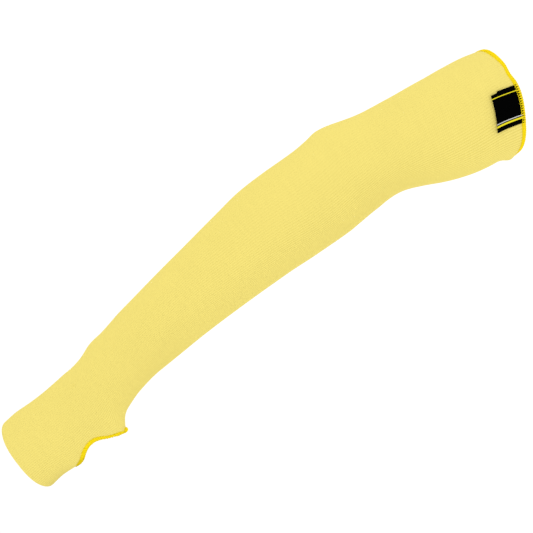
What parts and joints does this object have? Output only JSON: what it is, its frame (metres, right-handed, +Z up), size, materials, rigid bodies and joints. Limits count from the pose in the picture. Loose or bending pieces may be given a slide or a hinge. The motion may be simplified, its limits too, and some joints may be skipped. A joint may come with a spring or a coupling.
{
  "type": "cut resistant sleeve",
  "caption": "Seamless knitted arm sleeve in its worn, slightly bent form, open at the upper arm, hand and thumb hole, with overlocked edges and a folded hem label",
  "frame": {"origin": "centre of the upper-arm opening", "axes": "+Z up along the line from the hand rim to the hem; +X to the thumb side; -Y is the near side, which carries the label; the upper arm leans 15 degrees towards +X and the hand ends 7 degrees towards +X"},
  "size_m": [0.1303, 0.1003, 0.568],
  "materials": {
    "knit": "pale yellow fine-gauge aramid-type knit, matt",
    "overlock_thread": "bright yellow textured thread, slight sheen",
    "label_ribbon": "black woven ribbon"
  },
  "bodies": {
    "root": {"knit_sleeve": "knit", "upper_hem_overlock": "overlock_thread", "thumb_hole_overlock": "overlock_thread", "overlock_tail": "overlock_thread", "label": "label_ribbon"}
  },
  "joints": []
}
